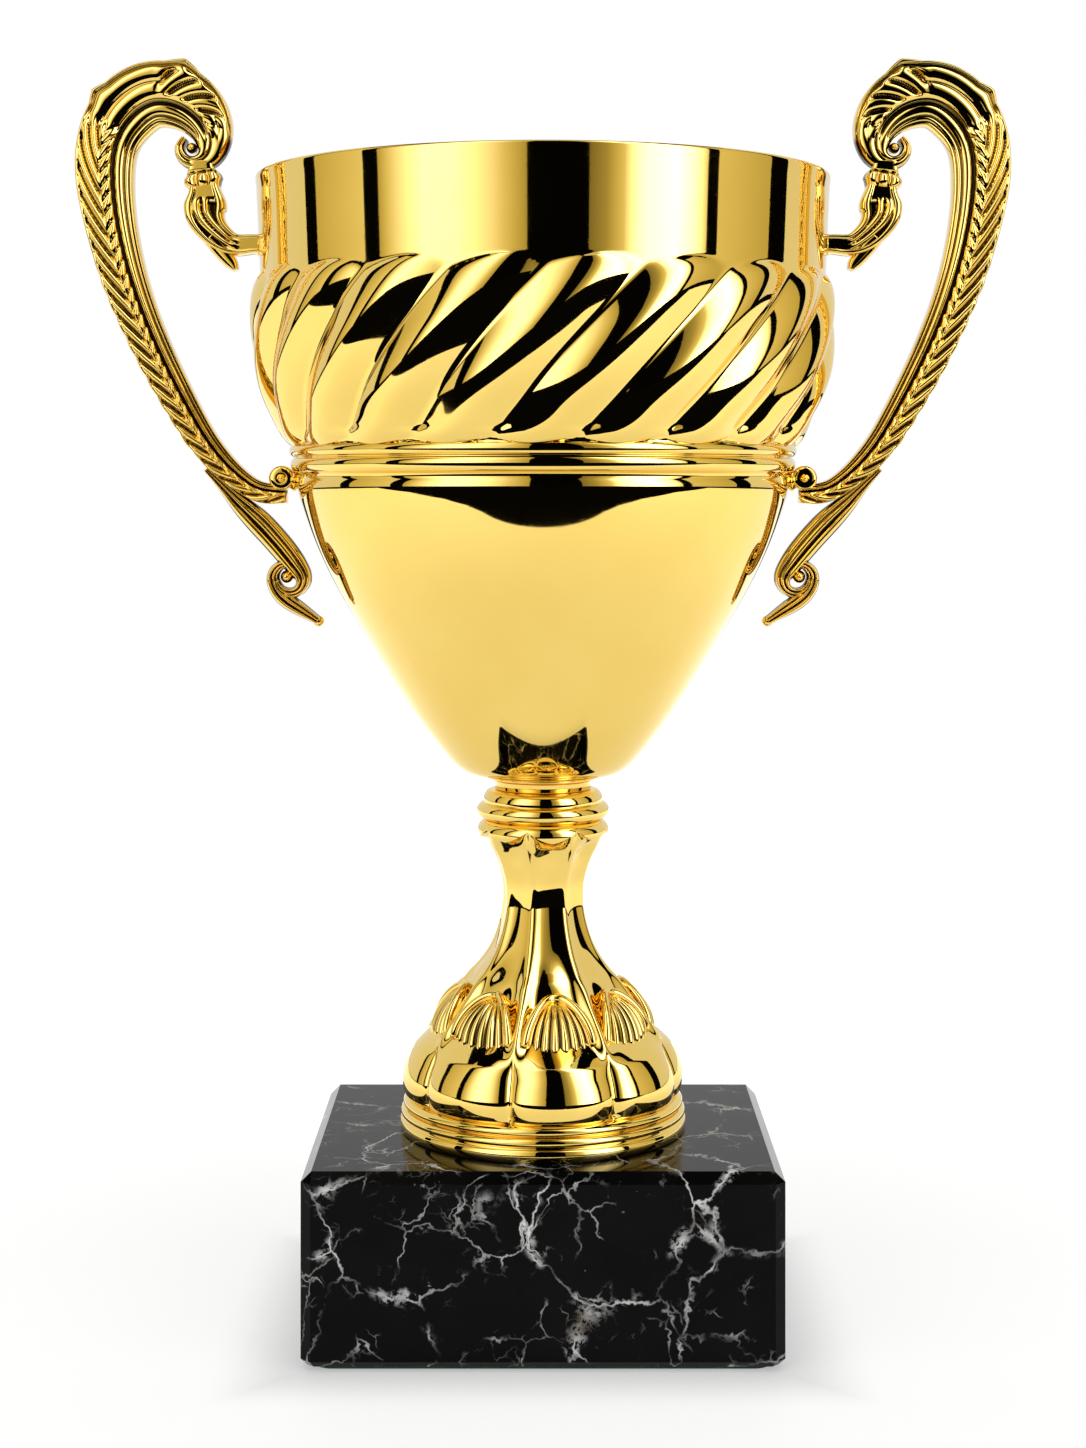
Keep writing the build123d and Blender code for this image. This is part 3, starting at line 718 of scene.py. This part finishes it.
def armRelief(along, t, width):
    # Wheat-ear leaves from a twisted rope in the middle out to a thin border, then a groove and two
    # reeds; over the top the leaves give way to long flutes cut short by a leaf with deep slots.
    out = (-0.05 - t) * width / 2
    leafPhase = (along - 2.3 * out) / handle["leafPitch"]
    leaf = 1.5 * np.abs(np.sin(np.pi * leafPhase)) ** 0.8 - 1.05
    leafField = smoothStep(t, -0.92, -0.84) * (1 - smoothStep(t, -0.2, -0.12))
    ropePhase = (along + 1.2 * out) / handle["ropePitch"]
    rope = reed(t, 0.02, 0.2, 1.1) * (0.25 + 0.75 * np.abs(np.sin(np.pi * ropePhase)) ** 0.7) - 0.55
    ropeField = smoothStep(t, -0.2, -0.12) * (1 - smoothStep(t, 0.2, 0.24))
    wheat = leaf * leafField + rope * ropeField
    flute = 1.1 * np.abs(np.cos(np.pi * (t + 0.09) * 1.9)) ** 0.7 - 0.8
    slotPhase = (along + 6.0 * (t + 0.4)) / 4.2
    slots = 1.7 * np.abs(np.sin(np.pi * slotPhase)) ** 0.7 - 1.25
    top = smoothStep(along, 104, 108)
    leafOver = smoothStep(along, 120, 123) * (1 - smoothStep(along, 134, 139))
    leafOver = leafOver * (1 - smoothStep(t, 0.0, 0.1)) * smoothStep(t, -0.8, -0.7)
    curl = smoothStep(along, 136, 141)
    crest = flute * (1 - leafOver) + slots * leafOver
    field = (wheat * (1 - top) + crest * top) * (1 - smoothStep(t, 0.2, 0.25))
    field = field * smoothStep(t, -0.94, -0.88)
    groove = smoothStep(t, 0.2, 0.27) * (1 - smoothStep(t, 0.88, 0.95))
    rails = reed(t, 0.53, 0.17, 0.95) + reed(t, 0.81, 0.085, 0.7) - 1.05 * groove
    border = reed(t, -0.955, 0.06, 0.4)
    plain = reed(t, -0.42, 0.45, 0.6) + reed(t, 0.5, 0.35, 0.6) - 0.75
    return (field + rails + border) * (1 - curl) + plain * curl - 0.1


def reedRelief(along, t, width):
    # Three parallel reeds with grooves between.
    return reed(t, -0.68, 0.22, 0.9) + reed(t, -0.12, 0.26, 1.0) + reed(t, 0.55, 0.3, 1.1) - 0.9


def tipRelief(along, t, width):
    # One low reed over the whole width.
    return reed(t, 0, 0.9, 0.5) - 0.3


def knuckleRelief(along, t, width):
    # Three round beads side by side under a plain neck.
    beads = 1.5 * np.abs(np.cos(1.5 * np.pi * t)) ** 0.6 - 0.75
    middle = np.clip(1 - ((along - 4.6) / 1.8) ** 2, 0, 1) ** 0.5
    return beads * middle - 0.65 * (1 - middle) * smoothStep(along, 2.0, 2.8) - 0.1


def leafRelief(along, t, width):
    # A smooth border round a sunk field with two long teardrops that bend with the leaf.
    inner = 1 - smoothStep(np.abs(t), 0.5, 0.62)
    sway = 0.16 * np.sin(along * 0.33)
    drops = reed(t, 0.24 + sway, 0.2, 1.0) + reed(t, -0.2 + sway, 0.17, 0.9)
    field = smoothStep(along, 3.4, 5.4) * (1 - smoothStep(along, 15, 20))
    return 0.5 * reed(np.abs(t), 0.78, 0.22, 1.0) + inner * field * (1.15 * drops - 0.75) - 0.25


def ball(name, out, level, radius, stretch=1.0):
    # A closed ball through the handle's middle plane, drawn out front to back by stretch.
    lat = np.radians(np.linspace(-90, 90, 18))[:, None]
    lon = np.radians(np.arange(32) * 360 / 32)[None, :]
    x = out + radius * np.cos(lat) * np.cos(lon)
    z = level + radius * np.cos(lat) * np.sin(lon)
    y = radius * stretch * np.sin(lat) + 0 * lon
    return gridMesh(name, x, y, z)


def ringRound(name, out, level, radius, thick, half):
    # A short drum with rounded edges, its axis through the casting.
    front = [(radius * 0.25, -half * 0.8), (radius - thick, -half), (radius, -half + thick)]
    back = [(radius, half - thick), (radius - thick, half), (radius * 0.25, half * 0.8)]
    outline = np.array(front + back)
    turn = np.radians(np.arange(48) * 360 / 48)[None, :]
    x = out + outline[:, :1] * np.cos(turn)
    z = level + outline[:, :1] * np.sin(turn)
    y = outline[:, 1:] + 0 * turn
    return gridMesh(name, x, y, z, capEnds=True)


def spigot(name, start, end, level, radius, flareTo):
    # A round stub from start, in the casting, to end, in the bowl's wall, with a boss round it
    # where the two meet.
    share = np.linspace(0, 1, 20)[:, None]
    r = radius + (flareTo - radius) * np.exp(-((share - 0.35) / 0.13) ** 2)
    turn = np.radians(np.arange(40) * 360 / 40)[None, :]
    x = end + (start - end) * share + 0 * turn
    y = r * np.cos(turn)
    z = level + r * np.sin(turn)
    return gridMesh(name, x, y, z, capEnds=True)


def handleParts():
    # A strip has its rows, its columns across and, where they differ from the arm's, half its
    # thickness and half its side walls. The rest has its place (out, level) and its radius first.
    h = handle
    return [
        strip("arm", h["arm"], armRelief, 440, 64, teeth=armTeeth),
        strip("strut", h["strut"], reedRelief, 110, 36, 2.9, 1.9),
        strip("tail", h["tail"], reedRelief, 90, 36, 2.7, 1.7),
        strip("leaf", h["leaf"], leafRelief, 100, 44, 3.1, 2.0),
        strip("leafTip", h["leafTip"], tipRelief, 40, 24, 2.5, 1.6),
        ball("volute", 85.3, 282.5, 1.35, 2.9),
        ball("lowerBall", 63.4, 202.3, 1.45, 2.75),
        ringRound("lowerScroll", 63.4, 202.3, 3.0, 0.7, 3.3),
        ball("curl", 62.2, 178.4, 1.6, 2.0),
        ball("tip", 54.6, 167.6, 1.35),
        strip("knuckle", h["knuckle"], knuckleRelief, 44, 44, 3.3, 2.4),
        spigot("upperSpigot", 71.6, 67.6, 259.1, 2.25, 2.9),
        spigot("lowerSpigot", 63.5, 58.8, 201.9, 2.0, 2.9),
    ]


piece("handleRight", handleParts(), castGold, "gold", "handle_right")
leftParts = handleParts()
for part in leftParts:  # the same casting mirrored
    part.transform(((-1, 0, 0, 0), (0, 1, 0, 0), (0, 0, 1, 0), (0, 0, 0, 1)))
piece("handleLeft", leftParts, castGold, "gold", "handle_left")
print("handles made")

marble = dict(
    ground=(0.0012, 0.0012, 0.0013, 1),
    cloud=(0.0032, 0.0032, 0.0033, 1),  # faint grey clouds in the black
    vein=(0.62, 0.62, 0.60, 1),
    rust=(0.16, 0.115, 0.07, 1),  # colour of a few stained veins
    roughness=0.075,
    shine=0.05,  # specular level of the polish
    bend=0.019,  # how far the veins wander, metres
    jitter=0.0034,  # and how far they shake on the way
    nets=(38.0, 80.0, 210.0),  # cells in a metre of the three nets of veins
)


def marbleMaterial():
    # Black stone with a broken net of white veins: distance to the edges of a noise-warped Voronoi
    # net at three scales, each shown only where a slow noise lets it through.
    m = marble
    tree = Tree("blackMarble")
    place = tree.vectors("ADD", tree.place, tree.wander(38.0, 5.0, 0.6, m["bend"]))
    place = tree.vectors("ADD", place, tree.wander(190.0, 4.0, 0.65, m["jitter"]))

    def net(scale, width, seed):
        # Lines of the net: 1 on an edge, 0 beyond width from it.
        moved = tree.vectors("ADD", place, (seed, seed * 0.7, 0))
        inputs = {"Vector": moved, "Scale": scale}
        edge = tree.node("ShaderNodeTexVoronoi", {"feature": "DISTANCE_TO_EDGE"}, inputs)
        return 1 - edge.rise(0.0, width)

    show = tree.noise(46.0, 3.0, 0.6).rise(0.42, 0.60)
    showFine = tree.noise(60.0, 3.0, 0.6, tree.stretched((1, 1, 1), (0.3, 0.1, 0.2))).rise(0.47, 0.64)
    thick = tree.noise(85.0, 3.0).rise(0.52, 0.62)
    large, middle, small = m["nets"]
    main = net(large, 0.017, 0.31) * show
    swollen = net(large, 0.075, 0.31) * show * thick * tree.noise(420.0, 4.0, 0.7).rise(0.45, 0.52)
    second = net(middle, 0.026, 1.37) * showFine
    third = net(small, 0.05, 2.9) * showFine * tree.noise(130.0, 2.0).rise(0.5, 0.68)
    crumbs = tree.noise(300.0, 5.0, 0.75).rise(0.66, 0.71) * tree.noise(50.0, 2.0).rise(0.45, 0.62)
    veins = main.atLeast(swollen).atLeast(second * 0.75).atLeast(third * 0.5).atLeast(crumbs * 0.6)
    veins = veins * (tree.noise(150.0, 3.0).rise(0.25, 0.75) * 0.6 + 0.4)
    rusty = tree.noise(70.0, 2.0).rise(0.6, 0.72)
    veinColour = tree.mix(rusty * 0.8, m["vein"], m["rust"])
    ground = tree.mix(tree.noise(55.0, 5.0, 0.6).rise(0.35, 0.85), m["ground"], m["cloud"])
    polish = tree.noise(24.0, 3.0) * 0.03 + veins * 0.10 + m["roughness"]
    tree.shader.inputs["Specular IOR Level"].default_value = m["shine"]
    tree.shader.inputs["IOR"].default_value = 1.55
    relief = tree.bump(tree.noise(900.0, 2.0), 0.003 * mm, 0.3)
    return tree.surface(Base_Color=tree.mix(veins, ground, veinColour), Roughness=polish, Normal=relief)


def zincMaterial():
    # Plated steel with fine turning marks and dull patches.
    tree = Tree("zincSteel")
    marks = tree.noise(700.0, 3.0, 0.5, tree.stretched((0.15, 0.15, 6)))
    dull = tree.noise(220.0, 3.0).rise(0.4, 0.7)
    tree.shader.inputs["Metallic"].default_value = 1.0
    colour = tree.mix(dull, (0.62, 0.63, 0.65, 1), (0.50, 0.50, 0.49, 1))
    return tree.surface(
        Base_Color=colour, Roughness=dull * 0.12 + 0.24, Normal=tree.bump(marks, 0.01 * mm, 0.5)
    )


def feltMaterial():
    # Short dark-green pile: matted fibres a few tenths of a millimetre long.
    tree = Tree("greenFelt")
    fibre = tree.noise(1500.0, 4.0, 0.7)
    clump = tree.noise(160.0, 3.0).rise(0.3, 0.7)
    colour = tree.mix(clump * 0.6 + fibre * 0.4, (0.006, 0.030, 0.012, 1), (0.018, 0.075, 0.032, 1))
    roughness = fibre * 0.1 + 0.88
    return tree.surface(Base_Color=colour, Roughness=roughness, Normal=tree.bump(fibre, 0.15 * mm, 0.7))


blackMarble = marbleMaterial()
zincSteel = zincMaterial()
greenFelt = feltMaterial()
finishes = {"gold": castGold, "marble": blackMarble, "zinc": zincSteel, "felt": greenFelt}
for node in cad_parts.values():
    for holder in node.material_slots:
        name = holder.material.name if holder.material else ""
        for key, material in finishes.items():
            if key in name:
                holder.material = material
print("marble, steel and felt made")

studio = dict(
    paper=(0.30, 0.30, 0.295, 1),
    tableFront=-0.28,  # where the white table ends in front of the cup, metres
    # (azimuth, strength) across each lit card; 0 is the camera's side, positive to its right
    boxLeft=[(-66, 0.5), (-58, 1.1), (-46, 2.2), (-34, 2.1), (-25, 1.5), (-15, 0.85), (-6, 0.45)],
    boxRight=[(17.5, 0.22), (24, 0.4), (31, 0.85), (40, 3.4), (52, 4.6), (60, 2.6), (66, 0.9)],
    wallLeft=[(-99, 0.60), (-73, 0.88)],  # dimmer cards at the sides, behind the lit ones
    wallRight=[(71, 0.80), (99, 0.55)],
    backdrop=[(110, 0.85), (254, 0.85)],
    overhead=0.75,  # strength of the wide sheet above
    fill=2.0,  # strength of the two white fill cards
    fillAbove=1.6,  # and of the one above
    fillHeight=(0.3, 3.0),  # the fill cards' levels, metres
    fillDistance=2.6,
    cardHeight=10.5,  # of the two lit cards, metres
    wallHeight=5.0,
    backdropHeight=4.0,
    cardDistance=3.0,
    room=(0.0015, 0.0015, 0.0015, 1),  # what the metal and the stone see beyond the cards
)


def glow(name, stops, white=False):
    # A lit surface whose strength follows the azimuth round the upright axis through the stops.
    # Unless it is white its dim parts are warmer and its hot middle cooler.
    tree = Tree(name, bare=True)
    azimuth = tree.axis("X").math("ARCTAN2", tree.axis("Y") * -1) * (180 / math.pi)
    if stops[-1][0] > 180:
        strength = stops[0][1]
        colour = (1, 1, 1, 1)
    else:
        span = stops[-1][0] - stops[0][0]
        top = max(value for _, value in stops)
        marks = [((at - stops[0][0]) / span, (value / top,) * 3) for at, value in stops]
        share = (azimuth - stops[0][0]) / span
        strength = tree.node("ShaderNodeValToRGB", {"stops": marks}, {"Fac": share}) * top
        colour = tree.mix(strength.rise(0.45, 1.3), (1.06, 0.93, 0.45, 1), (1, 1, 1.05, 1))
        colour = tree.mix(strength.rise(1.3, 2.4), colour, (1, 1.02, 1.35, 1))
        if white:
            colour = (1, 1, 1, 1)
    shine = tree.node("ShaderNodeEmission", {}, {"Strength": strength, "Color": colour})
    tree.node("ShaderNodeOutputMaterial", {}, {"Surface": shine})
    return tree.material


def card(name, stops, levels, distance, fill=False):
    # A curved card round the object between two levels in metres, unseen by the camera. The lit
    # cards show in polished surfaces only; fill cards light the paper and the stone evenly and
    # don't show in the polish.
    rows, columns = 8, 40
    angle = np.radians(np.linspace(stops[0][0], stops[-1][0], columns))
    level = np.linspace(*levels, rows)
    x = np.repeat((distance * np.sin(angle))[None, :], rows, axis=0) / mm
    y = np.repeat((-distance * np.cos(angle))[None, :], rows, axis=0) / mm
    z = np.repeat(level[:, None], columns, axis=1) / mm
    made = bpy.data.objects.new(name, gridMesh(name, x, y, z, wrapColumns=False))
    made.data.materials.append(glow(name + "Glow", stops, white=fill))
    bpy.context.scene.collection.objects.link(made)
    made.visible_camera = False
    made.visible_diffuse = fill
    made.visible_glossy = not fill


def flatCard(name, x, y, lift, material):
    # A level sheet between two x and two y, metres.
    mesh = bpy.data.meshes.new(name)
    corners = [(x[0], y[0], lift), (x[1], y[0], lift), (x[1], y[1], lift), (x[0], y[1], lift)]
    mesh.from_pydata(corners, [], [[0, 1, 2, 3]])
    made = bpy.data.objects.new(name, mesh)
    mesh.materials.append(material)
    bpy.context.scene.collection.objects.link(made)
    return made


def paperMaterial():
    # White paper that glows a little, more so further from the block, so it meets the backdrop. The
    # weaker glow near the block is painted shade, and a painted contact shadow darkens it along the
    # block's sides.
    tree = Tree("whitePaper")
    away = tree.node("ShaderNodeVectorMath", {"operation": "LENGTH"}, {0: tree.place}, "Value")
    blockHigh = boxOf("marble_base")[1] * mm
    aside = tree.axis("X").math("ABSOLUTE") - blockHigh[0]
    ahead = tree.axis("Y").math("ABSOLUTE") - blockHigh[1]
    # painted contact shadow: 0 from just inside the block's sides to 1 a little over 2 cm out
    paintedContactShadow = aside.atLeast(ahead).rise(-0.004, 0.022)
    tree.shader.inputs["Emission Strength"].default_value = 1.0
    # painted shade: the glow is weaker near the block and full far from it; the painted contact shadow
    # darkens it further
    lit = tree.mix(away.rise(0.10, 0.5), (0.68, 0.68, 0.68, 1), (0.99, 0.99, 0.99, 1))
    lit = tree.mix(paintedContactShadow, (0.40, 0.40, 0.40, 1), lit)
    grain = tree.noise(400.0, 2.0)
    paper = tree.mix(grain, studio["paper"], (0.33, 0.33, 0.325, 1))
    return tree.surface(Base_Color=paper, Roughness=grain * 0.05 + 0.6, Emission_Color=lit)


def darkMaterial():
    # Black cloth with no shine, for the room in front of the table.
    tree = Tree("darkCloth")
    grain = tree.noise(60.0, 3.0)
    tree.shader.inputs["Specular IOR Level"].default_value = 0.0
    cloth = tree.mix(grain, (0.0015, 0.0015, 0.0015, 1), (0.003, 0.003, 0.003, 1))
    return tree.surface(Base_Color=cloth, Roughness=grain * 0.1 + 0.85)


flatCard("table", (-1.6, 1.6), (studio["tableFront"], 1.8), 0.0, paperMaterial())
darkFloor = flatCard("darkFloor", (-3, 3), (-3, studio["tableFront"]), 0.0, darkMaterial())
darkFloor.visible_camera = False
cardDistance = studio["cardDistance"]
card("softboxLeft", studio["boxLeft"], (0.0, studio["cardHeight"]), cardDistance)
card("softboxRight", studio["boxRight"], (0.0, studio["cardHeight"]), cardDistance)
card("wallLeft", studio["wallLeft"], (0.0, studio["wallHeight"]), cardDistance)
card("wallRight", studio["wallRight"], (0.0, studio["wallHeight"]), cardDistance)
card("backdrop", studio["backdrop"], (0.0, studio["backdropHeight"]), cardDistance)
fillStops = [(-80, studio["fill"]), (-10, studio["fill"])]
card("fillLeft", fillStops, studio["fillHeight"], studio["fillDistance"], fill=True)
fillStops = [(10, studio["fill"]), (80, studio["fill"])]
card("fillRight", fillStops, studio["fillHeight"], studio["fillDistance"], fill=True)
overheadGlow = glow("overheadGlow", [(0, studio["overhead"]), (254, studio["overhead"])])
overhead = flatCard("overhead", (-4.0, 4.0), (-2.95, 4.0), 11.0, overheadGlow)
overhead.visible_camera = False
aboveGlow = glow("fillAboveGlow", [(0, studio["fillAbove"]), (254, studio["fillAbove"])])
fillAbove = flatCard("fillAbove", (-1.5, 1.5), (-1.5, 1.5), 2.6, aboveGlow)
fillAbove.visible_camera = False
fillAbove.visible_glossy = False
print("studio made")

# The room is nearly black to the metal and the stone, and plain white behind them
world = bpy.data.worlds.new("room")
bpy.context.scene.world = world
world.use_nodes = True
worldNodes = world.node_tree.nodes
worldLinks = world.node_tree.links
background = worldNodes["Background"]
sight = worldNodes.new("ShaderNodeLightPath")
pick = worldNodes.new("ShaderNodeMix")
pick.data_type = "RGBA"
pick.inputs[6].default_value = studio["room"]
pick.inputs[7].default_value = (1, 1, 1, 1)
worldLinks.new(sight.outputs["Is Camera Ray"], pick.inputs["Factor"])
worldLinks.new(pick.outputs[2], background.inputs["Color"])

view = dict(
    place=(0.0, -0.5949, 0.201),  # level, looking along +Y
    lens=60.8,
    shift=-0.166,  # downwards, as a share of the frame
    near=0.01,
)
camera = bpy.data.cameras.new("camera")
camera.lens = view["lens"]
camera.shift_y = view["shift"]
camera.clip_start = view["near"]
camera.dof.use_dof = False
viewer = bpy.data.objects.new("camera", camera)
viewer.location = view["place"]
viewer.rotation_euler = (math.radians(90), 0, 0)
bpy.context.scene.collection.objects.link(viewer)
bpy.context.scene.camera = viewer
bpy.context.scene.view_settings.view_transform = "Standard"
